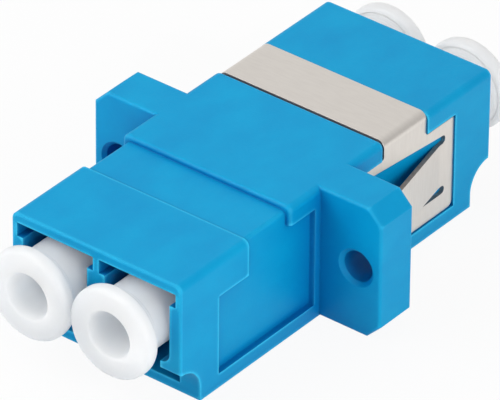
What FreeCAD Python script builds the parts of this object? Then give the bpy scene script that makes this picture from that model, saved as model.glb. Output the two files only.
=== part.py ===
import FreeCAD, Part
import os
import re

import Sketcher
from FreeCAD import Vector

# Duplex fibre adapter: two plug ports back to back in one moulded housing, with a
# mounting flange, a sheet clip for snap-in panels and a dust plug in each port.
# X is across the two ports, Y is along the fibres and Z is up. The origin is under
# the plane where the fibres meet, on the face that the housing stands on.

DIMENSIONS = {
    # housing, outside
    "port_depth": (15.1, "from the mouth of a port to the plane where the fibres meet"),
    "side_wall": (0.85, "wall outside each port"),
    "top_wall": (0.65, "wall over the ports"),
    "rim_round": (0.45, "radius along the top edges of the housing"),
    "rim_length": (6.4, "from a mouth to the recess for the clip's band"),
    "plate_margin": (3.6, "from a mouth to the recess for the clip's side plate"),
    "rear_drop": (1.4, "from the top of a rim to the rear side recess under it"),
    "front_drop": (2.5, "from the top of a rim to the front side recess under it"),
    "sill_height": (1.0, "bottom of the side recess"),
    "mouth_edge": (0.12, "radius round the outside of a mouth"),
    "notch_depth": (1.86, "how far the lower edge of a mouth is set back"),
    "notch_height": (2.72, "height of the set-back lower edge"),
    "notch_round": (1.8, "radius in the corner of the set-back"),
    # flange
    "flange_front": (1.85, "from the meeting plane to the front of the flange"),
    "flange_thick": (3.1, "flange, front to rear"),
    "flange_width": (22.0, "flange, tip to tip"),
    "flange_chamfer": (1.0, "cut across each corner of the flange"),
    "flange_edge": (0.2, "radius round both faces of the flange"),
    "flange_strip": (0.5, "full-width strip between the flange and a side recess"),
    "screw_margin": (1.85, "from a tip of the flange to the middle of its screw hole"),
    "screw_hole": (2.1, "diameter of a screw hole"),
    "screw_chamfer": (0.25, "cut round the edges of a screw hole"),
    # saddle round the flange
    "collar_rise": (0.2, "how far the collar stands above the rims"),
    "collar_reach": (2.9, "collar in front of the flange"),
    "collar_back": (3.1, "collar behind the flange"),
    "collar_drop": (1.3, "how far the collar comes down each side"),
    "collar_round": (0.45, "radius along the collar's two top edges"),
    "collar_edge": (0.25, "radius round the collar's two ends"),
    # ports
    "axis_height": (5.7, "port axes above the bottom face"),
    "port_width": (4.9, "main opening of a port, and its height as far as it is square"),
    "port_rise": (2.7, "from a port's axis to the top of its main opening"),
    "middle_wall": (1.35, "wall between the two ports"),
    "port_round": (0.65, "radius in the lower corners of the main opening"),
    "slot_side": (0.45, "how far the slot under the top wall widens a mouth, each side"),
    "slot_height": (0.95, "height of that slot"),
    "slot_depth": (3.5, "how far that slot runs in"),
    "latch_width": (3.5, "channel for a plug's latch"),
    "latch_depth": (9.5, "how far the latch channel runs in"),
    "bottom_wall": (0.65, "wall under the latch channel"),
    "lip_length": (3.2, "lip that a latch catches behind"),
    "catch_length": (5.0, "pocket behind the lip"),
    "catch_floor": (1.3, "bottom of the pocket behind the lip"),
    # middle wall, barrels and sleeves
    "web_thick": (1.4, "wall between the front and the rear ports"),
    "sleeve_length": (6.8, "alignment sleeve, end to end"),
    "ferrule": (1.25, "diameter of a plug's ferrule, and of the hole in a sleeve"),
    "sleeve_wall": (0.185, "wall of an alignment sleeve"),
    "sleeve_slit": (0.25, "width of the sleeve's lengthwise slit"),
    "sleeve_gap": (0.06, "play round a sleeve, and at each end of it"),
    "barrel_wall": (0.44, "wall of a barrel round its sleeve"),
    "barrel_tip": (0.7, "length of a barrel's tip past its sleeve"),
    "mouth_gap": (0.055, "play round a ferrule in a barrel's tip"),
    # sleeve retainers
    "retainer_thick": (1.2, "plate of a sleeve retainer"),
    "retainer_gap": (0.05, "play round a retainer's plate"),
    "barb_width": (2.0, "barb on a retainer, along X"),
    "barb_length": (0.8, "barb on a retainer, along Y"),
    "barb_rise": (0.25, "how far a barb stands out of the plate"),
    "barb_setback": (0.2, "from the rear of the plate to a barb's rear end"),
    "barb_gap": (0.05, "play round a barb in its pocket"),
    # clip
    "clip_thick": (0.3, "sheet of the clip"),
    "clip_sink": (0.05, "clip's top face below the collar's"),
    "clip_inset": (0.1, "clip's side plates behind the rims' sides"),
    "clip_gap": (0.06, "play between the clip's edges and its recess"),
    "clip_bend": (0.25, "inside radius of the clip's two bends"),
    "plate_round": (0.5, "radius of a side plate's lower corners"),
    "plate_border": (0.75, "strip of a side plate in front of its window"),
    "hinge_margin": (0.85, "from a side plate's rear edge to the ends of its slits"),
    "tongue_low": (2.95, "lower edge of a tongue"),
    "tongue_high": (6.05, "upper edge of a tongue"),
    "tongue_angle": (12.0, "how far a tongue is bent out, in degrees"),
    "tongue_end_gap": (0.6, "between a tongue's free end and its window"),
    "slit_width": (0.56, "slit above and below a tongue"),
    "slit_round": (0.26, "radius in the corners of the slits"),
    # dust plugs
    "plug_gap": (0.2, "play between a dust plug and the main opening"),
    "plug_end_gap": (1.1, "from the inner end of a dust plug to the retainer's plate"),
    "plug_stand": (1.6, "from a mouth to the back of a dust plug's disc"),
    "plug_nose": (0.4, "cut round the inner end of a dust plug"),
    "disc_gap": (0.15, "between the discs of two dust plugs side by side"),
    "disc_thick": (1.05, "dust plug's disc, front to back"),
    "disc_round": (0.4, "radius of the disc's edges"),
    "ring_step": (0.35, "step behind the disc, out from the stem"),
    "ring_length": (0.4, "step behind the disc, along the plug"),
    "well_wide": (3.1, "blind hole in the disc, at its mouth"),
    "well_narrow": (2.1, "blind hole in the disc, at its bottom"),
    "well_depth": (5.0, "blind hole in the disc"),
    "socket_gap": (0.15, "play between a dust plug's socket and the barrel"),
    "socket_end_gap": (3.84, "from a barrel's tip to the bottom of the socket over it"),
}

# Levels that several features share, as expressions of the dimensions.
FLANGE_FRONT = "(-flange_front)"
FLANGE_REAR = "(flange_thick - flange_front)"
COLLAR_FRONT = "(-flange_front - collar_reach)"
COLLAR_REAR = "(flange_thick - flange_front + collar_back)"
PORT_PITCH = "(port_width + middle_wall)"
PORT_TOP = "(axis_height + port_rise)"
PORT_BOTTOM = "(axis_height - port_width / 2)"
SLOT_FLOOR = f"({PORT_TOP} - slot_height)"
HALF_BODY = "(port_width + middle_wall / 2 + side_wall)"
RIM_TOP = f"({PORT_TOP} + top_wall)"
COLLAR_TOP = f"({RIM_TOP} + collar_rise)"
COLLAR_LOW = f"({COLLAR_TOP} - collar_drop)"
CLIP_TOP = f"({COLLAR_TOP} - clip_sink)"
BAND_FLOOR = f"({CLIP_TOP} - clip_thick)"
PLATE_FLOOR = f"({HALF_BODY} - clip_inset - clip_thick)"
WEB_FACE = "(web_thick / 2)"
SLEEVE_RADIUS = "(ferrule / 2 + sleeve_wall)"
BORE_RADIUS = f"({SLEEVE_RADIUS} + sleeve_gap)"
BORE_END = "(sleeve_length / 2 + sleeve_gap)"
BARREL_RADIUS = f"({BORE_RADIUS} + barrel_wall)"
BARREL_END = f"({BORE_END} + barrel_tip)"
BARREL_MOUTH = "(ferrule / 2 + mouth_gap)"
RETAINER_REAR = "(web_thick / 2 + retainer_thick)"
BARB_REAR = f"({RETAINER_REAR} - barb_setback)"
PLUG_END = f"({RETAINER_REAR} + plug_end_gap)"

PLANES = {"X": "YZ_Plane", "Y": "XZ_Plane", "Z": "XY_Plane"}
ENDS = ("front", "rear")
PORTS = {"left": f"-{PORT_PITCH} / 2", "right": f"{PORT_PITCH} / 2"}

doc = FreeCAD.newDocument("fibre_adapter")
sheet = doc.addObject("Spreadsheet::Sheet", "Sizes")
for row, (alias, (size, note)) in enumerate(DIMENSIONS.items(), start=1):
    sheet.set(f"A{row}", alias)
    sheet.set(f"B{row}", str(size))
    sheet.set(f"C{row}", note)
    sheet.setAlias(f"B{row}", alias)
doc.recompute()


def sized(expression):
    """The expression with the sheet's name before each dimension in it."""
    return re.sub(
        r"[a-z_]{4,}",
        lambda word: f"Sizes.{word.group()}" if word.group() in DIMENSIONS else word.group(),
        expression,
    )


def number(expression):
    """What an expression of the dimensions comes to."""
    return float(sheet.evalExpression(sized(expression)))


def make_body(label):
    body = doc.addObject("PartDesign::Body", label)
    body.Label = label
    return body


def place(body, x="0", y="0", z="0", half_turn=False):
    """Stand a body made about its own axis where it belongs."""
    body.Placement.Rotation = FreeCAD.Rotation(Vector(0, 0, 1), 180 if half_turn else 0)
    for axis, expression in zip("xyz", (x, y, z)):
        body.setExpression(f"Placement.Base.{axis}", sized(expression))


def fix_point(sketch, geometry, position, point):
    """Tie one point of a sketch to two expressions of the dimensions."""
    for kind, expression in zip(("DistanceX", "DistanceY"), point):
        constraint = Sketcher.Constraint(kind, -1, 1, geometry, position, number(expression))
        index = sketch.addConstraint(constraint)
        sketch.setExpression(f"Constraints[{index}]", sized(expression))


def draw_outline(sketch, points):
    """A closed outline with straight sides through points given as expressions."""
    corners = [Vector(number(a), number(b), 0) for a, b in points]
    first = sketch.GeometryCount
    for index, corner in enumerate(corners):
        after = corners[(index + 1) % len(corners)]
        sketch.addGeometry(Part.LineSegment(corner, after), False)
    for index, point in enumerate(points):
        after = first + (index + 1) % len(points)
        sketch.addConstraint(Sketcher.Constraint("Coincident", first + index, 2, after, 1))
        fix_point(sketch, first + index, 1, point)


def draw_arch(sketch, half_width, low, high, radius):
    """A box about the middle with its two top corners rounded."""
    points = [
        (f"-({half_width})", low),
        (half_width, low),
        (half_width, f"{high} - {radius}"),
        (f"{half_width} - {radius}", high),
        (f"-({half_width} - {radius})", high),
        (f"-({half_width})", f"{high} - {radius}"),
    ]
    corners = [Vector(number(a), number(b), 0) for a, b in points]
    for index in (0, 1, 3, 5):
        segment = Part.LineSegment(corners[index], corners[(index + 1) % 6])
        sketch.addGeometry(segment, False)
    lift = number(radius) * (1 - 0.5**0.5)
    top = number(high) - lift
    across = number(half_width) - lift
    for sign, start, end in ((1, corners[2], corners[3]), (-1, corners[4], corners[5])):
        arc = Part.Arc(start, Vector(sign * across, top, 0), end)
        sketch.addGeometry(arc, False)
    # Lines 0 to 3 are the bottom, the right side, the top and the left side.
    for line, point in ((0, 0), (1, 1), (2, 3), (3, 5)):
        fix_point(sketch, line, 1, points[point])
    joints = [(0, 2, 1, 1), (3, 2, 0, 1), (1, 2, 4, 1), (4, 2, 2, 1), (2, 2, 5, 1), (5, 2, 3, 1)]
    for joint in joints:
        sketch.addConstraint(Sketcher.Constraint("Coincident", *joint))
    fix_point(sketch, 1, 2, points[2])
    fix_point(sketch, 2, 2, points[4])
    for arc in (4, 5):
        index = sketch.addConstraint(Sketcher.Constraint("Radius", arc, number(radius)))
        sketch.setExpression(f"Constraints[{index}]", sized(radius))


def draw_circle(sketch, centre, radius):
    middle = Vector(number(centre[0]), number(centre[1]), 0)
    index = sketch.addGeometry(Part.Circle(middle, Vector(0, 0, 1), number(radius)), False)
    fix_point(sketch, index, 3, centre)
    constraint = sketch.addConstraint(Sketcher.Constraint("Radius", index, number(radius)))
    sketch.setExpression(f"Constraints[{constraint}]", sized(radius))


def box(low_a, low_b, high_a, high_b):
    return [(low_a, low_b), (high_a, low_b), (high_a, high_b), (low_a, high_b)]


def make_sketch(body, name, axis, level, shapes):
    """A sketch across an axis of the body, at a level along it."""
    sketch = body.newObject("Sketcher::SketchObject", name)
    plane = next(p for p in body.Origin.OriginFeatures if p.Role == PLANES[axis])
    sketch.AttachmentSupport = [(plane, "")]
    sketch.MapMode = "FlatFace"
    # The XZ plane faces -Y, so a level along Y counts backwards on it.
    offset = f"-({level})" if axis == "Y" else level
    sketch.setExpression("AttachmentOffset.Base.z", sized(offset))
    for shape in shapes:
        if isinstance(shape, list):
            draw_outline(sketch, shape)
        elif len(shape) == 2:
            draw_circle(sketch, *shape)
        else:
            draw_arch(sketch, *shape)
    return sketch


def volume(body):
    return 0.0 if body.Shape.isNull() else body.Shape.Volume


def add_between(body, name, axis, low, high, shapes):
    """Pad outlines from one level to a higher one."""
    before = volume(body)
    pad = body.newObject("PartDesign::Pad", name)
    pad.Profile = make_sketch(body, f"{name}_sketch", axis, low, shapes)
    pad.setExpression("Length", sized(f"({high}) - ({low})"))
    pad.Reversed = axis == "Y"
    doc.recompute()
    assert volume(body) > before, name
    return pad


def cut_between(body, name, axis, low, high, shapes):
    """Pocket outlines from one level to a higher one."""
    before = volume(body)
    pocket = body.newObject("PartDesign::Pocket", name)
    pocket.Profile = make_sketch(body, f"{name}_sketch", axis, low, shapes)
    pocket.setExpression("Length", sized(f"({high}) - ({low})"))
    pocket.Reversed = axis != "Y"
    doc.recompute()
    assert volume(body) < before, name
    return pocket


def edge_points(edge):
    first, last = edge.ParameterRange
    return [edge.valueAt(first + share * (last - first)) for share in (0, 0.31, 0.62, 1)]


def edges_at(body, x=None, y=None, z=None):
    """Names of the edges that lie at these levels; x counts on both sides."""
    wanted = [(0, x), (1, y), (2, z)]
    levels = [(axis, number(level)) for axis, level in wanted if level is not None]
    names = []
    for index, edge in enumerate(body.Shape.Edges, start=1):
        points = [(abs(p.x), p.y, p.z) for p in edge_points(edge)]
        if all(abs(p[axis] - level) < 1e-4 for p in points for axis, level in levels):
            names.append(f"Edge{index}")
    return names


def dress_edges(body, kind, name, names, size):
    """A PartDesign Fillet or Chamfer of one size on the named edges."""
    assert names, name
    dressed = body.newObject(f"PartDesign::{kind}", name)
    dressed.Base = (body.Tip if body.Tip != dressed else dressed.BaseFeature, names)
    dressed.setExpression("Radius" if kind == "Fillet" else "Size", sized(size))
    body.Tip = dressed
    doc.recompute()
    return dressed


def inward(end, depth):
    """The level along Y that lies this deep in the ports of one end."""
    return f"(({depth}) - port_depth)" if end == "front" else f"(port_depth - ({depth}))"


def span(end, near, far):
    """Low and high level along Y between two depths in the ports of one end."""
    levels = (inward(end, near), inward(end, far))
    return levels if end == "front" else levels[::-1]


def port_circles(radius):
    return [((centre, "axis_height"), radius) for centre in PORTS.values()]


def add_flange(body):
    """The flange, with its corners cut off and its two faces' edges rounded."""
    flange = box("-flange_width / 2", "0", "flange_width / 2", COLLAR_TOP)
    add_between(body, "flange", "Y", FLANGE_FRONT, FLANGE_REAR, [flange])
    corners = edges_at(body, x="flange_width / 2", z="0")
    corners += edges_at(body, x="flange_width / 2", z=COLLAR_TOP)
    dress_edges(body, "Chamfer", "flange_corners", corners, "flange_chamfer")
    outlines = edges_at(body, y=FLANGE_FRONT) + edges_at(body, y=FLANGE_REAR)
    dress_edges(body, "Fillet", "flange_outlines", outlines, "flange_edge")


def add_block(body):
    """The block with its set-back lower edges, and the collar over its middle."""
    block = (HALF_BODY, "0", RIM_TOP, "rim_round")
    add_between(body, "block", "Y", "-port_depth", "port_depth", [block])
    notches = []
    corners = []
    mouths = []
    for end in ENDS:
        near, far = span(end, "-1", "notch_depth")
        notches.append(box(near, "-1", far, "notch_height"))
    cut_between(body, "notches", "X", f"-{HALF_BODY} - 1", f"{HALF_BODY} + 1", notches)
    for end in ENDS:
        corners += edges_at(body, y=inward(end, "notch_depth"), z="notch_height")
    dress_edges(body, "Fillet", "notch_corners", corners, "notch_round")
    for end in ENDS:
        mouths += edges_at(body, y=inward(end, "0"))
    dress_edges(body, "Fillet", "mouth_edges", mouths, "mouth_edge")
    collar = (HALF_BODY, COLLAR_LOW, COLLAR_TOP, "collar_round")
    add_between(body, "collar", "Y", COLLAR_FRONT, COLLAR_REAR, [collar])


def add_screw_holes(body):
    across = "(flange_width / 2 - screw_margin)"
    centres = [(f"{sign}{across}", f"{COLLAR_TOP} / 2") for sign in ("-", "")]
    holes = [(centre, "screw_hole / 2") for centre in centres]
    cut_between(body, "screw_holes", "Y", f"{FLANGE_FRONT} - 1", f"{FLANGE_REAR} + 1", holes)
    radius = number("screw_hole / 2")
    rims = [
        f"Edge{index}"
        for index, edge in enumerate(body.Shape.Edges, start=1)
        if edge.Closed and abs(edge.Curve.Radius - radius) < 1e-6
    ]
    dress_edges(body, "Chamfer", "screw_hole_rims", rims, "screw_chamfer")


def add_clip_recesses(body):
    """The same recess at both ends: a band over the top and a plate down each side."""
    over = f"{COLLAR_TOP} + 1"
    plates = []
    bands = []
    for end, root, collar_end in (
        ("front", f"{FLANGE_FRONT} - flange_strip", COLLAR_FRONT),
        ("rear", f"{FLANGE_REAR} + flange_strip", COLLAR_REAR),
    ):
        rim = inward(end, "rim_length")
        shoulder = f"{RIM_TOP} - {end}_drop"
        plates.append(
            [
                (root, "sill_height"),
                (inward(end, "plate_margin"), "sill_height"),
                (inward(end, "plate_margin"), shoulder),
                (rim, shoulder),
                (rim, over),
                (collar_end, over),
                (collar_end, COLLAR_LOW),
                (root, COLLAR_LOW),
            ]
        )
        bands.append(box(rim, BAND_FLOOR, collar_end, over))
    cut_between(body, "right_recesses", "X", PLATE_FLOOR, f"{HALF_BODY} + 1", plates)
    cut_between(body, "left_recesses", "X", f"-{HALF_BODY} - 1", f"-{PLATE_FLOOR}", plates)
    cut_between(body, "band_recesses", "X", f"-{HALF_BODY} - 1", f"{HALF_BODY} + 1", bands)
    bends = edges_at(body, x=PLATE_FLOOR, z=BAND_FLOOR)
    dress_edges(body, "Fillet", "band_bends", bends, "clip_bend")


def cut_in_ports(body, name, width, depths, low, high):
    """The same box sunk into all four ports, between two depths and two heights."""
    boxes = []
    for centre in PORTS.values():
        for end in ENDS:
            near, far = span(end, *depths)
            boxes.append(box(f"{centre} - {width} / 2", near, f"{centre} + {width} / 2", far))
    return cut_between(body, name, "Z", low, high, boxes)


def add_ports(body):
    depths = ("-1", f"port_depth - {WEB_FACE}")
    cut_in_ports(body, "openings", "port_width", depths, PORT_BOTTOM, PORT_TOP)
    corners = []
    for side in ("middle_wall / 2", "middle_wall / 2 + port_width"):
        corners += edges_at(body, x=side, z=PORT_BOTTOM)
    dress_edges(body, "Fillet", "opening_corners", corners, "port_round")
    width = "(port_width + 2 * slot_side)"
    cut_in_ports(body, "slots", width, ("-1", "slot_depth"), SLOT_FLOOR, PORT_TOP)
    top = f"{PORT_BOTTOM} + port_round"
    cut_in_ports(body, "channels", "latch_width", ("-1", "latch_depth"), "bottom_wall", top)
    depths = ("lip_length", "lip_length + catch_length")
    cut_in_ports(body, "catches", "port_width", depths, "catch_floor", top)


def add_front_barrels(body):
    """Half of each sleeve's seat, moulded on the web, and the retainers' pockets."""
    tubes = port_circles(BARREL_RADIUS)
    add_between(body, "barrels", "Y", f"-{BARREL_END}", f"-{WEB_FACE}", tubes)
    bores = port_circles(BORE_RADIUS)
    cut_between(body, "sleeve_bores", "Y", f"-{BORE_END}", f"{WEB_FACE} + 1", bores)
    mouths = port_circles(BARREL_MOUTH)
    cut_between(body, "barrel_mouths", "Y", f"-{BARREL_END} - 1", "0", mouths)
    pockets = []
    for centre in PORTS.values():
        low_x = f"{centre} - barb_width / 2 - barb_gap"
        high_x = f"{centre} + barb_width / 2 + barb_gap"
        low_y = f"{BARB_REAR} - barb_length - barb_gap"
        pockets.append(box(low_x, low_y, high_x, f"{BARB_REAR} + barb_gap"))
    levels = (f"{PORT_BOTTOM} - barb_rise", f"{PORT_TOP} + barb_rise")
    cut_between(body, "barb_pockets", "Z", *levels, pockets)


def round_collar_ends(body):
    """The collar's two ends, over the top and down both sides."""
    half = number(HALF_BODY)
    names = []
    for end in (COLLAR_FRONT, COLLAR_REAR):
        for name in edges_at(body, y=end):
            points = edge_points(body.Shape.getElement(name))
            over_top = min(p.z for p in points) > number(BAND_FLOOR) + 1e-3
            down_side = all(abs(abs(p.x) - half) < 1e-4 for p in points)
            if over_top or down_side:
                names.append(name)
    dress_edges(body, "Fillet", "collar_ends", names, "collar_edge")


def make_housing():
    body = make_body("housing")
    add_flange(body)
    add_screw_holes(body)
    add_block(body)
    add_clip_recesses(body)
    add_ports(body)
    add_front_barrels(body)
    round_collar_ends(body)
    return body


def make_retainer(side):
    """The snapped-in rear half of a sleeve's seat: a plate, a barrel and two barbs."""
    body = make_body(f"sleeve_retainer_{side}")
    half = "(port_width / 2 - retainer_gap)"
    top = f"({PORT_TOP} - axis_height - retainer_gap)"
    plate = box(f"-{half}", f"-{half}", half, top)
    add_between(body, f"{side}_plate", "Y", WEB_FACE, RETAINER_REAR, [plate])
    feet = edges_at(body, x=half, z=f"-{half}")
    dress_edges(body, "Fillet", f"{side}_plate_corners", feet, "port_round")
    circle = (("0", "0"), BARREL_RADIUS)
    add_between(body, f"{side}_barrel", "Y", RETAINER_REAR, BARREL_END, [circle])
    bore = (("0", "0"), BORE_RADIUS)
    cut_between(body, f"{side}_bore", "Y", "0", BORE_END, [bore])
    mouth = (("0", "0"), BARREL_MOUTH)
    cut_between(body, f"{side}_mouth", "Y", "0", f"{BARREL_END} + 1", [mouth])
    barbs = [
        [
            (f"{BARB_REAR} - barb_length", edge),
            (BARB_REAR, edge),
            (BARB_REAR, f"{edge} {sign} barb_rise"),
        ]
        for edge, sign in ((f"-{half}", "-"), (top, "+"))
    ]
    add_between(body, f"{side}_barbs", "X", "-barb_width / 2", "barb_width / 2", barbs)
    return body


def make_sleeve(side):
    """A split ceramic tube that lines up the two ferrules."""
    body = make_body(f"alignment_sleeve_{side}")
    half = "(sleeve_length / 2)"
    ring = [(("0", "0"), SLEEVE_RADIUS), (("0", "0"), "ferrule / 2")]
    add_between(body, f"{side}_tube", "Y", f"-{half}", half, ring)
    slit = box("-sleeve_slit / 2", "0", "sleeve_slit / 2", f"2 * {SLEEVE_RADIUS}")
    cut_between(body, f"{side}_slit", "Y", f"-{half} - 1", f"{half} + 1", [slit])
    return body


def make_clip():
    """One folded sheet: a band, two side plates and a sprung tongue on each plate."""
    body = make_body("panel_clip")
    outer = f"({PLATE_FLOOR} + clip_thick)"
    foot = "(sill_height + clip_gap)"
    front = f"({FLANGE_REAR} + flange_strip + clip_gap)"
    rear = "(port_depth - plate_margin - clip_gap)"
    fold = [
        (f"-{outer}", foot),
        (f"-{PLATE_FLOOR}", foot),
        (f"-{PLATE_FLOOR}", BAND_FLOOR),
        (PLATE_FLOOR, BAND_FLOOR),
        (PLATE_FLOOR, foot),
        (outer, foot),
        (outer, CLIP_TOP),
        (f"-{outer}", CLIP_TOP),
    ]
    add_between(body, "fold", "Y", front, rear, [fold])
    inside = edges_at(body, x=PLATE_FLOOR, z=BAND_FLOOR)
    dress_edges(body, "Fillet", "inside_bends", inside, "clip_bend")
    outside = edges_at(body, x=outer, z=CLIP_TOP)
    dress_edges(body, "Fillet", "outside_bends", outside, "clip_bend + clip_thick")
    band_front = f"({COLLAR_REAR} + clip_gap)"
    band_rear = "(port_depth - rim_length - clip_gap)"
    past = f"({outer} + 1)"
    blanks = [
        box(f"{front} - 1", f"{COLLAR_LOW} - clip_gap", band_front, f"{CLIP_TOP} + 1"),
        box(band_rear, f"{RIM_TOP} - rear_drop - clip_gap", f"{rear} + 1", f"{CLIP_TOP} + 1"),
    ]
    cut_between(body, "blank_corners", "X", f"-{past}", past, blanks)
    corners = edges_at(body, y=front, z=foot) + edges_at(body, y=rear, z=foot)
    dress_edges(body, "Fillet", "plate_corners", corners, "plate_round")
    hinge = f"({rear} - hinge_margin)"
    window_front = f"({front} + plate_border)"
    window = box(window_front, "tongue_low - slit_width", hinge, "tongue_high + slit_width")
    cut_between(body, "windows", "X", f"-{past}", past, [window])
    ends = [
        name
        for y in (window_front, hinge)
        for z in ("tongue_low - slit_width", "tongue_high + slit_width")
        for name in edges_at(body, y=y, z=z)
    ]
    dress_edges(body, "Fillet", "slit_ends", ends, "slit_round")
    root = f"({hinge} + hinge_margin / 2)"
    bend = f"({hinge} - slit_round)"
    tip = f"({window_front} + tongue_end_gap)"
    tip_outer = f"({outer} + ({bend} - {tip}) * tan(tongue_angle))"
    tip_inner = f"({tip_outer} - clip_thick / cos(tongue_angle))"
    tongues = []
    for sign in ("", "-"):
        tongues.append(
            [
                (f"{sign}{PLATE_FLOOR}", root),
                (f"{sign}{outer}", root),
                (f"{sign}{outer}", bend),
                (f"{sign}{tip_outer}", tip),
                (f"{sign}{tip_inner}", tip),
                (f"{sign}{PLATE_FLOOR}", bend),
            ]
        )
    add_between(body, "tongues", "Z", "tongue_low", "tongue_high", tongues)
    return body


def make_dust_plug(end, side):
    """A soft stopper with a disc to pull on and a socket that clears the barrel."""
    body = make_body(f"dust_plug_{end}_{side}")
    stem = "(port_width / 2 - plug_gap)"
    disc = f"({PORT_PITCH} / 2 - disc_gap / 2)"
    face = "(-plug_stand - disc_thick)"
    reach = f"(port_depth - {PLUG_END})"
    socket = f"({BARREL_RADIUS} + socket_gap)"
    socket_floor = f"(port_depth - {BARREL_END} - socket_end_gap)"
    profile = [
        ("0", f"{face} + well_depth"),
        ("well_narrow / 2", f"{face} + well_depth"),
        ("well_wide / 2", face),
        (disc, face),
        (disc, "-plug_stand"),
        (f"{stem} + ring_step", "-plug_stand"),
        (f"{stem} + ring_step", "-plug_stand + ring_length"),
        (stem, "-plug_stand + ring_length"),
        (stem, f"{reach} - plug_nose"),
        (f"{stem} - plug_nose", reach),
        (socket, reach),
        (socket, socket_floor),
        ("0", socket_floor),
    ]
    turned = body.newObject("PartDesign::Revolution", f"{end}_{side}_turned")
    turned.Profile = make_sketch(body, f"{end}_{side}_profile", "Z", "0", [profile])
    turned.ReferenceAxis = (turned.Profile[0], ["V_Axis"])
    turned.Angle = 360
    doc.recompute()
    radius = number(disc)
    rims = [
        f"Edge{index}"
        for index, edge in enumerate(body.Shape.Edges, start=1)
        if hasattr(edge.Curve, "Radius") and abs(edge.Curve.Radius - radius) < 1e-6
    ]
    dress_edges(body, "Fillet", f"{end}_{side}_rims", rims, "disc_round")
    return body


def make_parts():
    parts = [make_housing(), make_clip()]
    for side, x in PORTS.items():
        sleeve = make_sleeve(side)
        place(sleeve, x=x, z="axis_height")
        retainer = make_retainer(side)
        place(retainer, x=x, z="axis_height")
        front = make_dust_plug("front", side)
        place(front, x=x, y="-port_depth", z="axis_height")
        rear = make_dust_plug("rear", side)
        place(rear, x=x, y="port_depth", z="axis_height", half_turn=True)
        parts += [sleeve, retainer, front, rear]
    return parts


def write_parts(parts):
    doc.recompute()
    for item in doc.Objects:
        assert "Invalid" not in item.State and "Error" not in item.State, item.Label
    for body in parts:
        assert not body.Shape.isNull() and body.Shape.isValid(), body.Label
        assert len(body.Shape.Solids) == 1, body.Label
    os.makedirs("parts", exist_ok=True)
    for body in parts:
        body.Shape.exportStep(f"parts/{body.Label}.step")


write_parts(make_parts())
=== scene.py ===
import math

import bmesh
import bpy
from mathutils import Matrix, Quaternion, Vector


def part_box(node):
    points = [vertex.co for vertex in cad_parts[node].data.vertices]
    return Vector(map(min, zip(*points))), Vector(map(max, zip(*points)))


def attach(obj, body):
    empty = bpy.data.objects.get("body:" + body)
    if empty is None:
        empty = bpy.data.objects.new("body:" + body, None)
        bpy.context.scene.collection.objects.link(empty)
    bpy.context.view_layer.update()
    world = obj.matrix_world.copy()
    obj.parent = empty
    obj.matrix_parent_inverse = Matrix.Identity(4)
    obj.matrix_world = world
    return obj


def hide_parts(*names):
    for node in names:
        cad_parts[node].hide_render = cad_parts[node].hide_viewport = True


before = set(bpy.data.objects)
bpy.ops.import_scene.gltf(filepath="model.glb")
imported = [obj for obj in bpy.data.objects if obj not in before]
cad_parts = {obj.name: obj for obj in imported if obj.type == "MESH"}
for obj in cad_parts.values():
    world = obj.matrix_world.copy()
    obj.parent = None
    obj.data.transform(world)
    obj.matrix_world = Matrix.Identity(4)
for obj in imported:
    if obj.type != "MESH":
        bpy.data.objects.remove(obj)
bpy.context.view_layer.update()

MM = 0.001

# ---------------------------------------------------------------------------
# Moulded housing
# The adapter's body with its flange, injection moulded in one piece of blue
# PBT in a lightly spark-eroded tool. It comes from the mould ready to fill.
# ---------------------------------------------------------------------------
HOUSING_BLUE = (0.0, 0.345, 0.645)
HOUSING_DEEP_BLUE = (0.0, 0.3, 0.6)
# Painted highlight: the paler cyan that thin convex edges turn to.
HOUSING_EDGE_HIGHLIGHT_BLUE = (0.05, 0.64, 0.96)
# Painted shade: a deeper blue for corners and for surfaces close to other pieces, and a near black one for
# slots and holes.
HOUSING_SHADE_BLUE = (0.0, 0.145, 0.42)
HOUSING_SLOT_SHADE_BLUE = (0.0, 0.02, 0.07)
HOUSING_ROUGHNESS = (0.34, 0.46)
HOUSING_SPECULAR = 0.13
FLOW_SCALE = 420
SPARK_SCALE = 7000
SPARK_DEPTH = 0.008 * MM
HOUSING_EDGE = 0.09 * MM
EDGE_HIGHLIGHT_REACH = 0.32 * MM
CORNER_REACH = 5 * MM
NEIGHBOUR_REACH = 1.4 * MM
SHADE_SAMPLES = 6


def start_finish(name):
    """A new material and its node tree, its Principled shader and its place in the part."""
    finish = bpy.data.materials.new(name)
    finish.use_nodes = True
    tree = finish.node_tree
    shader = next(node for node in tree.nodes if node.type == "BSDF_PRINCIPLED")
    place = tree.nodes.new("ShaderNodeTexCoord").outputs["Object"]
    return finish, tree, shader, place


def add_noise(tree, place, scale, detail, along_axes=(1, 1, 1)):
    """Noise at a place, with its scale multiplied along each axis."""
    mapping = tree.nodes.new("ShaderNodeMapping")
    mapping.inputs["Scale"].default_value = along_axes
    tree.links.new(place, mapping.inputs["Vector"])
    noise = tree.nodes.new("ShaderNodeTexNoise")
    noise.inputs["Scale"].default_value = scale
    noise.inputs["Detail"].default_value = detail
    tree.links.new(mapping.outputs["Vector"], noise.inputs["Vector"])
    return noise.outputs["Fac"]


def add_range(tree, value, low, high, start=0.3, end=0.7):
    """A value spread from start..end to low..high. The defaults suit noise."""
    spread = tree.nodes.new("ShaderNodeMapRange")
    spread.inputs["From Min"].default_value = start
    spread.inputs["From Max"].default_value = end
    spread.inputs["To Min"].default_value = low
    spread.inputs["To Max"].default_value = high
    tree.links.new(value, spread.inputs["Value"])
    return spread.outputs["Result"]


def add_blend(tree, amount, first, second):
    """A first colour, or what another node gives, that turns to a second one by an amount."""
    blend = tree.nodes.new("ShaderNodeMix")
    blend.data_type = "RGBA"
    tree.links.new(amount, blend.inputs["Factor"])
    if isinstance(first, tuple):
        blend.inputs["A"].default_value = (*first, 1)
    else:
        tree.links.new(first, blend.inputs["A"])
    blend.inputs["B"].default_value = (*second, 1)
    return blend.outputs["Result"]


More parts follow.
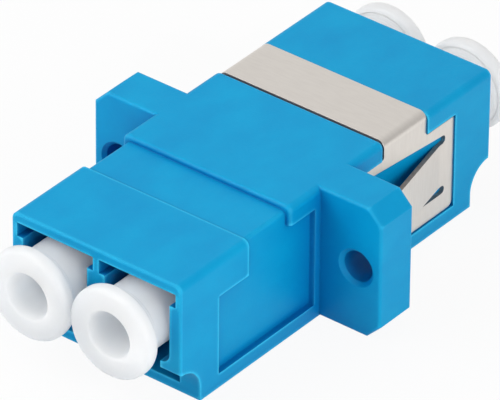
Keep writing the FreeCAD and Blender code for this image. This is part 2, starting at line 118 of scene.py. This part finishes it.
def add_relief(tree, shader, height, depth, edge_radius):
    """Surface grain over edges that the tool leaves slightly rounded."""
    edge = tree.nodes.new("ShaderNodeBevel")
    edge.samples = SHADE_SAMPLES
    edge.inputs["Radius"].default_value = edge_radius
    bump = tree.nodes.new("ShaderNodeBump")
    bump.inputs["Distance"].default_value = depth
    bump.inputs["Strength"].default_value = 1.0
    tree.links.new(edge.outputs["Normal"], bump.inputs["Normal"])
    tree.links.new(height, bump.inputs["Height"])
    tree.links.new(bump.outputs["Normal"], shader.inputs["Normal"])


def add_openness(tree, reach, inside, own):
    """How open the space is over a surface, or how thick the piece is under it."""
    openness = tree.nodes.new("ShaderNodeAmbientOcclusion")
    openness.inside = inside
    openness.only_local = own
    openness.samples = SHADE_SAMPLES
    openness.inputs["Distance"].default_value = reach
    return openness.outputs["AO"]


def make_housing_plastic():
    """Blue with a painted highlight on thin convex edges, and painted shade in corners, in slots and next to
    other pieces.
    """
    finish, tree, shader, place = start_finish("housing_plastic")
    flow = add_noise(tree, place, FLOW_SCALE, detail=4, along_axes=(1, 0.6, 1))
    tint = add_blend(tree, add_range(tree, flow, 0, 1), HOUSING_BLUE, HOUSING_DEEP_BLUE)
    # Painted highlight: where the piece is thin under the surface, at convex edges, the blue turns a paler
    # cyan as if the edge caught the light.
    thickness = add_openness(tree, EDGE_HIGHLIGHT_REACH, inside=True, own=True)
    painted_edge_highlight = add_range(tree, thickness, 1, 0, start=0.5, end=0.8)
    tint = add_blend(tree, painted_edge_highlight, tint, HOUSING_EDGE_HIGHLIGHT_BLUE)
    # Painted shade: the blue deepens in corners and recesses, goes near black deep in slots and holes, and
    # darkens where other pieces stand close, where shade falls.
    openness = add_openness(tree, CORNER_REACH, inside=False, own=True)
    corner = add_range(tree, openness, 1, 0, start=0.42, end=0.95)
    tint = add_blend(tree, corner, tint, HOUSING_SHADE_BLUE)
    slot = add_range(tree, openness, 1, 0, start=0.03, end=0.18)
    tint = add_blend(tree, slot, tint, HOUSING_SLOT_SHADE_BLUE)
    clearance = add_openness(tree, NEIGHBOUR_REACH, inside=False, own=False)
    neighbour_shade = add_range(tree, clearance, 0.55, 0, start=0.2, end=0.9)
    tint = add_blend(tree, neighbour_shade, tint, HOUSING_SHADE_BLUE)
    tree.links.new(tint, shader.inputs["Base Color"])
    grain = add_noise(tree, place, SPARK_SCALE, detail=3)
    tree.links.new(add_range(tree, grain, *HOUSING_ROUGHNESS), shader.inputs["Roughness"])
    add_relief(tree, shader, grain, SPARK_DEPTH, HOUSING_EDGE)
    shader.inputs["Specular IOR Level"].default_value = HOUSING_SPECULAR
    return finish


def dress(piece, *finishes):
    """These finishes, and no others, on a piece."""
    piece.data.materials.clear()
    for finish in finishes:
        piece.data.materials.append(finish)


housing_plastic = make_housing_plastic()
dress(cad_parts["housing"], housing_plastic)

# ---------------------------------------------------------------------------
# Sleeve retainers and alignment sleeves
# Each rear port holds a snapped-in plate with a barrel, in the housing's own
# plastic. A split zirconia sleeve, ground and polished, floats in each barrel.
# ---------------------------------------------------------------------------
ZIRCONIA_WHITE = (0.88, 0.87, 0.83)
ZIRCONIA_SHADE = (0.82, 0.81, 0.77)
ZIRCONIA_ROUGHNESS = (0.12, 0.22)
ZIRCONIA_CLOUD_SCALE = 900
GRINDING_SCALE = 9000
GRINDING_DEPTH = 0.001 * MM
ZIRCONIA_EDGE = 0.03 * MM


def make_zirconia():
    """Polished white ceramic with fine grinding marks along the sleeve."""
    finish, tree, shader, place = start_finish("zirconia")
    cloud = add_noise(tree, place, ZIRCONIA_CLOUD_SCALE, detail=2)
    tint = add_blend(tree, add_range(tree, cloud, 0, 1), ZIRCONIA_WHITE, ZIRCONIA_SHADE)
    tree.links.new(tint, shader.inputs["Base Color"])
    grinding = add_noise(tree, place, GRINDING_SCALE, detail=2, along_axes=(1, 0.05, 1))
    tree.links.new(add_range(tree, grinding, *ZIRCONIA_ROUGHNESS), shader.inputs["Roughness"])
    add_relief(tree, shader, grinding, GRINDING_DEPTH, ZIRCONIA_EDGE)
    return finish


zirconia = make_zirconia()
for side in ("left", "right"):
    dress(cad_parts[f"alignment_sleeve_{side}"], zirconia)
    dress(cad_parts[f"sleeve_retainer_{side}"], housing_plastic)

# ---------------------------------------------------------------------------
# Sprung panel clip
# A blank stamped from 0.3 mm stainless strip, with a sprung tongue lanced in
# each side, then folded twice and snapped over the rear half of the housing.
# ---------------------------------------------------------------------------
STEEL_GREY = (0.855, 0.81, 0.755)
STEEL_DARK_GREY = (0.82, 0.775, 0.725)
SHEARED_GREY = (0.5, 0.43, 0.38)
SHEARED_DARK_GREY = (0.36, 0.3, 0.27)
STRIP_ROUGHNESS = (0.3, 0.42)
SHEARED_ROUGHNESS = (0.5, 0.65)
ROLLING_MARKS = (900, 5000, 900)
SHEARING_MARKS = (3000, 3000, 3000)
STEEL_MARK_DEPTH = 0.002 * MM
STEEL_EDGE = 0.03 * MM
SHEET = 0.3 * MM
SHEET_EDGE = 0.012 * MM
SHARP_EDGE = math.radians(50)
SIDE_X = 6.175 * MM
BEND_RADIUS = 0.4 * MM
BEND_STEPS = 8
BEND_MARGIN = 0.15
BAND_FRONT, BAND_REAR = 4.48 * MM, 8.68 * MM
PLATE_REAR_PLAY = 0.04 * MM
FRONT_SHOULDER, REAR_SHOULDER = 7.89 * MM, 7.51 * MM
FOOT_ROUND, SHOULDER_ROUND, BAND_ROUND = 0.5 * MM, 0.12 * MM, 0.2 * MM
BORDER, HINGE_MARGIN = 0.75 * MM, 0.85 * MM
WINDOW_FLARE = 0.72 * MM
SLIT = 0.56 * MM
WINDOW_ROUND, SLIT_ROUND = 0.26 * MM, 0.25 * MM
TONGUE_LOW, TONGUE_HIGH = 2.95 * MM, 6.05 * MM
TONGUE_END_GAP, TONGUE_ROUND = 0.6 * MM, 0.3 * MM
TONGUE_ANGLE = math.radians(12.5)
TONGUE_BEND = 0.5 * MM
TONGUE_STEPS = 5
TONGUE_SCORE_BEFORE, TONGUE_SCORE_AFTER = 0.18 * MM, 0.12 * MM
SAME_PLACE = 1e-6


def round_corners(corners, steps=6):
    """A closed outline through (a, b, radius) corners, each with its own arc."""
    outline = []
    count = len(corners)
    for index, (a, b, radius) in enumerate(corners):
        here = Vector((a, b))
        before = Vector(corners[index - 1][:2]) - here
        after = Vector(corners[(index + 1) % count][:2]) - here
        if radius <= 0:
            outline.append(here)
            continue
        before.normalize()
        after.normalize()
        half = before.angle(after) / 2
        middle = here + (before + after).normalized() * radius / math.sin(half)
        start = here + before * radius / math.tan(half) - middle
        end = here + after * radius / math.tan(half) - middle
        turn = math.atan2(start.x * end.y - start.y * end.x, start.dot(end))
        for step in range(steps + 1):
            angle = turn * step / steps
            x = start.x * math.cos(angle) - start.y * math.sin(angle)
            y = start.x * math.sin(angle) + start.y * math.cos(angle)
            outline.append(middle + Vector((x, y)))
    return outline


def stamp_blank(outlines, scores):
    """A flat sheet inside the first outline and outside the rest, scored where it will bend."""
    sheet = bmesh.new()
    edges = []
    for outline in outlines:
        corners = [sheet.verts.new((p.x, p.y, 0)) for p in outline]
        edges += [sheet.edges.new((corners[i - 1], corners[i])) for i in range(len(corners))]
    bmesh.ops.triangle_fill(sheet, use_beauty=True, use_dissolve=False, edges=edges)
    for point, across in scores:
        everything = sheet.verts[:] + sheet.edges[:] + sheet.faces[:]
        bmesh.ops.bisect_plane(sheet, geom=everything, plane_co=point, plane_no=across, dist=1e-8)
    return sheet


clip_low, clip_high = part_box("panel_clip")
front, rear, foot = clip_low.y, clip_high.y + PLATE_REAR_PLAY, clip_low.z
band_z = clip_high.z - SHEET / 2
side_length = band_z - BEND_RADIUS - foot
bend_length = BEND_RADIUS * math.pi / 2
band_half = SIDE_X - BEND_RADIUS
middle_run = side_length + bend_length + band_half
hinge = rear - HINGE_MARGIN
tongue_root = hinge - SLIT / 2
tongue_tip = front + BORDER + TONGUE_END_GAP


def is_tongue(y, z):
    """Whether a point of a side plate is on its tongue."""
    along = tongue_tip - SAME_PLACE <= y <= tongue_root
    return along and TONGUE_LOW - SAME_PLACE <= z <= TONGUE_HIGH + SAME_PLACE


def fold_point(y, run):
    """Where a point of the flat blank comes to lie when it is folded."""
    side = 1 if run < middle_run else -1
    run = min(run, 2 * middle_run - run)
    if run <= side_length:
        x, z = SIDE_X, foot + run
        if is_tongue(y, z):
            reach = tongue_root - y
            turned = min(reach, TONGUE_BEND) / TONGUE_BEND * TONGUE_ANGLE
            radius = TONGUE_BEND / TONGUE_ANGLE
            straight = max(reach - TONGUE_BEND, 0)
            x += radius * (1 - math.cos(turned)) + straight * math.sin(TONGUE_ANGLE)
            y = tongue_root - radius * math.sin(turned) - straight * math.cos(TONGUE_ANGLE)
    elif run <= side_length + bend_length:
        angle = (run - side_length) / BEND_RADIUS
        x = band_half + BEND_RADIUS * math.cos(angle)
        z = band_z - BEND_RADIUS + BEND_RADIUS * math.sin(angle)
    else:
        x, z = band_half - (run - side_length - bend_length), band_z
    return Vector((side * x, y, z))


def mirror_outline(corners):
    """The same corners on the blank's other half."""
    return [(y, 2 * middle_run - run, radius) for y, run, radius in corners]


def clip_outlines():
    """The blank's outline and the U-shaped slot round each tongue, as (y, run)."""
    rear_edge = [
        (front, 0, FOOT_ROUND),
        (rear, 0, FOOT_ROUND),
        (rear, REAR_SHOULDER - foot, SHOULDER_ROUND),
        (BAND_REAR, REAR_SHOULDER - foot, BAND_ROUND),
    ]
    front_edge = [
        (BAND_FRONT, FRONT_SHOULDER - foot, BAND_ROUND),
        (front, FRONT_SHOULDER - foot, SHOULDER_ROUND),
    ]
    far_rear_edge = mirror_outline(reversed(rear_edge))
    far_front_edge = mirror_outline(reversed(front_edge))
    window = front + BORDER
    low, high = TONGUE_LOW - foot, TONGUE_HIGH - foot
    slot = [
        (window, low - SLIT, WINDOW_ROUND),
        (hinge, low - SLIT, SLIT_ROUND),
        (hinge, low, SLIT_ROUND),
        (tongue_tip, low, TONGUE_ROUND),
        (tongue_tip, high, TONGUE_ROUND),
        (hinge, high, SLIT_ROUND),
        (hinge, high + SLIT, SLIT_ROUND),
        (window, high + SLIT + WINDOW_FLARE, WINDOW_ROUND),
    ]
    blank = rear_edge + far_rear_edge + far_front_edge + front_edge
    return [round_corners(corners) for corners in (blank, slot, mirror_outline(slot))]


def bend_lines():
    """Where the blank is scored for its two folds and for the roots of its tongues."""
    lines = []
    for turn in (-BEND_MARGIN, *(step / BEND_STEPS for step in range(BEND_STEPS + 1)), 1 + BEND_MARGIN):
        run = side_length + bend_length * turn
        for line in (run, 2 * middle_run - run):
            lines.append(((0, line, 0), (0, 1, 0)))
    steps = [TONGUE_BEND * step / TONGUE_STEPS for step in range(TONGUE_STEPS + 1)]
    for reach in (-TONGUE_SCORE_BEFORE, *steps, TONGUE_BEND + TONGUE_SCORE_AFTER):
        lines.append(((tongue_root - reach, 0, 0), (1, 0, 0)))
    return lines


def add_object(name, data):
    """A new object in the scene that shows this mesh, lamp or camera."""
    thing = bpy.data.objects.new(name, data)
    bpy.context.scene.collection.objects.link(thing)
    return thing


def finish_mesh(name, shape):
    """A smooth-shaded object made from a bmesh, which is used up."""
    bmesh.ops.recalc_face_normals(shape, faces=shape.faces[:])
    mesh = bpy.data.meshes.new(name)
    shape.to_mesh(mesh)
    shape.free()
    mesh.shade_smooth()
    return add_object(name, mesh)


def fold_clip():
    """The clip, folded from its flat blank, with its sheared edges just broken."""
    sheet = stamp_blank(clip_outlines(), bend_lines())
    for corner in sheet.verts:
        corner.co = fold_point(corner.co.x, corner.co.y)
    clip = finish_mesh("sprung_clip", sheet)
    thickness = clip.modifiers.new("thickness", "SOLIDIFY")
    thickness.thickness = SHEET
    thickness.offset = 0
    thickness.use_even_offset = True
    thickness.material_offset_rim = 1
    edges = clip.modifiers.new("tumbled_edges", "BEVEL")
    edges.width = SHEET_EDGE
    edges.segments = 2
    edges.limit_method = "ANGLE"
    edges.angle_limit = SHARP_EDGE
    edges.use_clamp_overlap = False
    edges.harden_normals = True
    return clip


def make_steel(name, marks, light, dark, roughness):
    """Bare steel with fine marks, whose scale is given along each axis."""
    finish, tree, shader, place = start_finish(name)
    height = add_noise(tree, place, 1, detail=4, along_axes=marks)
    tint = add_blend(tree, add_range(tree, height, 0, 1), light, dark)
    tree.links.new(tint, shader.inputs["Base Color"])
    tree.links.new(add_range(tree, height, *roughness), shader.inputs["Roughness"])
    add_relief(tree, shader, height, STEEL_MARK_DEPTH, STEEL_EDGE)
    shader.inputs["Metallic"].default_value = 1.0
    return finish


strip_steel = make_steel("strip_steel", ROLLING_MARKS, STEEL_GREY, STEEL_DARK_GREY, STRIP_ROUGHNESS)
sheared_edge = make_steel("sheared_edge", SHEARING_MARKS, SHEARED_GREY, SHEARED_DARK_GREY, SHEARED_ROUGHNESS)
sprung_clip = fold_clip()
dress(sprung_clip, strip_steel, sheared_edge)
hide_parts("panel_clip")
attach(sprung_clip, "adapter")

# ---------------------------------------------------------------------------
# Dust plugs
# Soft stoppers moulded in natural white polyethylene, one pressed into each
# port by hand: a stem, a disc to pull on and a blind hole at each end.
# ---------------------------------------------------------------------------
PLUG_WHITE = (0.93, 0.935, 0.94)
PLUG_SHADE = (0.91, 0.92, 0.93)
PLUG_ROUGHNESS = (0.38, 0.5)
PLUG_CLOUD_SCALE = 500
PLUG_GRAIN_SCALE = 5000
PLUG_GRAIN_DEPTH = 0.004 * MM
PLUG_EDGE = 0.05 * MM
PLUG_SCATTER = 6 * MM
PLUG_SPECULAR = 0.4
STEM = 2.25 * MM
NOSE = 0.4 * MM
DISC = STEM + 0.8 * MM
DISC_BACK, DISC_THICK, DISC_ROUND = 1.6 * MM, 1.05 * MM, 0.38 * MM
RING, RING_LENGTH, RING_ROUND = 2.6 * MM, 0.4 * MM, 0.15 * MM
WELL_WIDE, WELL_NARROW, WELL_DEPTH = 1.55 * MM, 1.05 * MM, 5.0 * MM
WELL_LIP_ROUND, WELL_FLOOR_ROUND = 0.16 * MM, 0.3 * MM
SOCKET, SOCKET_DEPTH = 1.46 * MM, 5.0 * MM
SOFT_ROUND, FINE_ROUND = 0.2 * MM, 0.1 * MM
TURNED_SEGMENTS = 96
ON_AXIS = 1e-7


def turn_profile(name, outline, centre, outward):
    """A closed ring of (radius, reach) points turned about a port's axis."""
    turned = bmesh.new()
    rings = []
    for radius, reach in outline:
        if radius < ON_AXIS:
            rings.append([turned.verts.new(centre + Vector((0, outward * reach, 0)))])
            continue
        ring = []
        for step in range(TURNED_SEGMENTS):
            angle = 2 * math.pi * step / TURNED_SEGMENTS
            spot = Vector((radius * math.cos(angle), outward * reach, radius * math.sin(angle)))
            ring.append(turned.verts.new(centre + spot))
        rings.append(ring)
    for low, high in zip(rings, rings[1:]):
        for step in range(TURNED_SEGMENTS):
            after = (step + 1) % TURNED_SEGMENTS
            lower = [low[step % len(low)], low[after % len(low)]]
            upper = [high[after % len(high)], high[step % len(high)]]
            turned.faces.new(list(dict.fromkeys(lower + upper)))
    return finish_mesh(name, turned)


def plug_outline(reach_in):
    """Half a plug's section, as (radius, reach out of the mouth), for a plug that goes this far in."""
    face = DISC_BACK + DISC_THICK
    ring_back = DISC_BACK - RING_LENGTH
    corners = [
        (0, face - WELL_DEPTH, 0),
        (WELL_NARROW, face - WELL_DEPTH, WELL_FLOOR_ROUND),
        (WELL_WIDE, face, WELL_LIP_ROUND),
        (DISC, face, DISC_ROUND),
        (DISC, DISC_BACK, DISC_ROUND),
        (RING, DISC_BACK, FINE_ROUND),
        (RING, ring_back, RING_ROUND),
        (STEM, ring_back, FINE_ROUND),
        (STEM, NOSE - reach_in, SOFT_ROUND),
        (STEM - NOSE, -reach_in, FINE_ROUND),
        (SOCKET, -reach_in, FINE_ROUND),
        (SOCKET, SOCKET_DEPTH - reach_in, SOFT_ROUND),
        (0, SOCKET_DEPTH - reach_in, 0),
    ]
    return [(point.x, point.y) for point in round_corners(corners, steps=5)]


def make_polyethylene():
    """Soft white plastic that light soaks into."""
    finish, tree, shader, place = start_finish("polyethylene")
    cloud = add_noise(tree, place, PLUG_CLOUD_SCALE, detail=3)
    tint = add_blend(tree, add_range(tree, cloud, 0, 1), PLUG_WHITE, PLUG_SHADE)
    tree.links.new(tint, shader.inputs["Base Color"])
    grain = add_noise(tree, place, PLUG_GRAIN_SCALE, detail=2)
    tree.links.new(add_range(tree, grain, *PLUG_ROUGHNESS), shader.inputs["Roughness"])
    add_relief(tree, shader, grain, PLUG_GRAIN_DEPTH, PLUG_EDGE)
    shader.inputs["Subsurface Weight"].default_value = 1.0
    shader.inputs["Subsurface Scale"].default_value = PLUG_SCATTER
    shader.inputs["Subsurface Radius"].default_value = (1.0, 1.0, 1.0)
    shader.inputs["Specular IOR Level"].default_value = PLUG_SPECULAR
    return finish


polyethylene = make_polyethylene()
for end, outward in (("front", -1), ("rear", 1)):
    for side in ("left", "right"):
        node = f"dust_plug_{end}_{side}"
        low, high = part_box(node)
        mouth = max(abs(low.y), abs(high.y)) - DISC_BACK - DISC_THICK
        inner = min(abs(low.y), abs(high.y))
        centre = (low + high) / 2
        centre.y = outward * mouth
        plug = turn_profile(f"stopper_{end}_{side}", plug_outline(mouth - inner), centre, outward)
        dress(plug, polyethylene)
        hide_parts(node)
        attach(plug, f"{node}_body")

# ---------------------------------------------------------------------------
# Studio table and light
# A white table top under a pale sky, with a broad soft lamp on the left, a
# weaker one on the right and a narrow one on the front plugs. The table glows
# white for the camera, and about half as much in what the part reflects.
# ---------------------------------------------------------------------------
TABLE_WHITE = (0.83, 0.83, 0.83)
TABLE_SHADE = (0.82, 0.82, 0.825)
TABLE_CLOUD_SCALE = 40
TABLE_ROUGHNESS, TABLE_SPECULAR = 0.8, 0.1
TABLE_HALF, TABLE_LEVEL = 3.0, -0.02 * MM
TABLE_GLOW = {"Is Camera Ray": 0.92, "Is Glossy Ray": 0.5, "Is Transmission Ray": 0.5}
BRIGHT_SIDE = (-0.5, 0.83, 0.25)
SKY_DIM, SKY_BRIGHT = 0.19, 0.76
HORIZON_GLOW, HORIZON_TOP = 0.95, 0.12
PART_MIDDLE = (0, 0, 0.004)
FRONT_PLUGS = (-0.001, -0.0165, 0.0045)


def add_maths(tree, operation, first, second):
    """A sum on a node's value and a second value, which may be a plain number."""
    maths = tree.nodes.new("ShaderNodeMath")
    maths.operation = operation
    tree.links.new(first, maths.inputs[0])
    if isinstance(second, float):
        maths.inputs[1].default_value = second
    else:
        tree.links.new(second, maths.inputs[1])
    return maths.outputs["Value"]


def add_table_glow(tree, shader):
    """White light from the table top, as much of it as each kind of ray may see."""
    path = tree.nodes.new("ShaderNodeLightPath")
    shares = [add_maths(tree, "MULTIPLY", path.outputs[ray], share) for ray, share in TABLE_GLOW.items()]
    share = shares[0]
    for other in shares[1:]:
        share = add_maths(tree, "MAXIMUM", share, other)
    glow = tree.nodes.new("ShaderNodeEmission")
    glow.inputs["Strength"].default_value = 1.0
    mix = tree.nodes.new("ShaderNodeMixShader")
    tree.links.new(share, mix.inputs["Fac"])
    tree.links.new(shader.outputs["BSDF"], mix.inputs[1])
    tree.links.new(glow.outputs["Emission"], mix.inputs[2])
    out = next(node for node in tree.nodes if node.type == "OUTPUT_MATERIAL")
    tree.links.new(mix.outputs["Shader"], out.inputs["Surface"])


def make_table():
    """A table top that the part stands on, just under the part's lowest face."""
    mesh = bpy.data.meshes.new("table_top")
    ends = (-TABLE_HALF, TABLE_HALF)
    corners = [(x, y, TABLE_LEVEL) for x in ends for y in ends]
    mesh.from_pydata(corners, [], [(0, 2, 3, 1)])
    table = add_object("table_top", mesh)
    finish, tree, shader, place = start_finish("table_white")
    cloud = add_noise(tree, place, TABLE_CLOUD_SCALE, detail=2)
    tint = add_blend(tree, add_range(tree, cloud, 0, 1), TABLE_WHITE, TABLE_SHADE)
    tree.links.new(tint, shader.inputs["Base Color"])
    shader.inputs["Roughness"].default_value = TABLE_ROUGHNESS
    shader.inputs["Specular IOR Level"].default_value = TABLE_SPECULAR
    add_table_glow(tree, shader)
    dress(table, finish)


def make_sky():
    """A grey sky, bright behind the part on the left and all round the horizon."""
    world = bpy.data.worlds.new("studio")
    bpy.context.scene.world = world
    world.use_nodes = True
    tree = world.node_tree
    sky = next(node for node in tree.nodes if node.type == "BACKGROUND")
    place = tree.nodes.new("ShaderNodeTexCoord").outputs["Generated"]
    towards = tree.nodes.new("ShaderNodeVectorMath")
    towards.operation = "DOT_PRODUCT"
    towards.inputs[1].default_value = BRIGHT_SIDE
    tree.links.new(place, towards.inputs[0])
    wall = add_range(tree, towards.outputs["Value"], SKY_DIM, SKY_BRIGHT, start=-0.3, end=0.9)
    split = tree.nodes.new("ShaderNodeSeparateXYZ")
    tree.links.new(place, split.inputs["Vector"])
    horizon = add_range(tree, split.outputs["Z"], HORIZON_GLOW, 0.0, start=0.0, end=HORIZON_TOP)
    tree.links.new(add_maths(tree, "MAXIMUM", wall, horizon), sky.inputs["Strength"])
    sky.inputs["Color"].default_value = (1, 1, 1, 1)


def aim_object(thing, place, target):
    """Put a lamp or a camera at a place, facing a target."""
    thing.location = place
    thing.rotation_mode = "QUATERNION"
    thing.rotation_quaternion = (Vector(target) - Vector(place)).to_track_quat("-Z", "Y")


def hang_lamp(name, place, size, power):
    """A square soft lamp at a place, facing the part."""
    light = bpy.data.lights.new(name, "AREA")
    light.shape = "SQUARE"
    light.size = size
    light.energy = power
    aim_object(add_object(name, light), place, PART_MIDDLE)


def aim_spot(name, place, target, cone, softness, power):
    """A narrow soft lamp at a place, aimed at one end of the part."""
    light = bpy.data.lights.new(name, "SPOT")
    light.energy = power
    light.shadow_soft_size = softness
    light.spot_size = cone
    light.spot_blend = 1.0
    aim_object(add_object(name, light), place, target)


make_table()
make_sky()
hang_lamp("key_lamp", (-0.3, -0.28, 0.33), size=0.45, power=1.98)
hang_lamp("right_lamp", (0.42, -0.08, 0.2), size=0.25, power=1.15)
aim_spot("plug_lamp", (0.17, -0.3, 0.16), FRONT_PLUGS, cone=math.radians(2.6), softness=0.02, power=7.8)

# ---------------------------------------------------------------------------
# Camera
# A long lens a forearm's length away, above the right front corner.
# ---------------------------------------------------------------------------
CAMERA_PLACE = Vector((0.225798, -0.288508, 0.250474))
CAMERA_AIM = Vector((-0.000245, -0.000151, 0.004649))
CAMERA_ROLL = math.radians(0.551)
SENSOR_WIDTH, FOCAL_LENGTH = 36, 526.2
NEAREST, FARTHEST = 0.01, 20

lens = bpy.data.cameras.new("camera")
lens.sensor_width = SENSOR_WIDTH
lens.lens = FOCAL_LENGTH
lens.clip_start = NEAREST
lens.clip_end = FARTHEST
camera = add_object("camera", lens)
aim_object(camera, CAMERA_PLACE, CAMERA_AIM)
camera.rotation_quaternion = camera.rotation_quaternion @ Quaternion((0, 0, 1), CAMERA_ROLL)
bpy.context.scene.camera = camera
bpy.context.scene.view_settings.view_transform = "Standard"
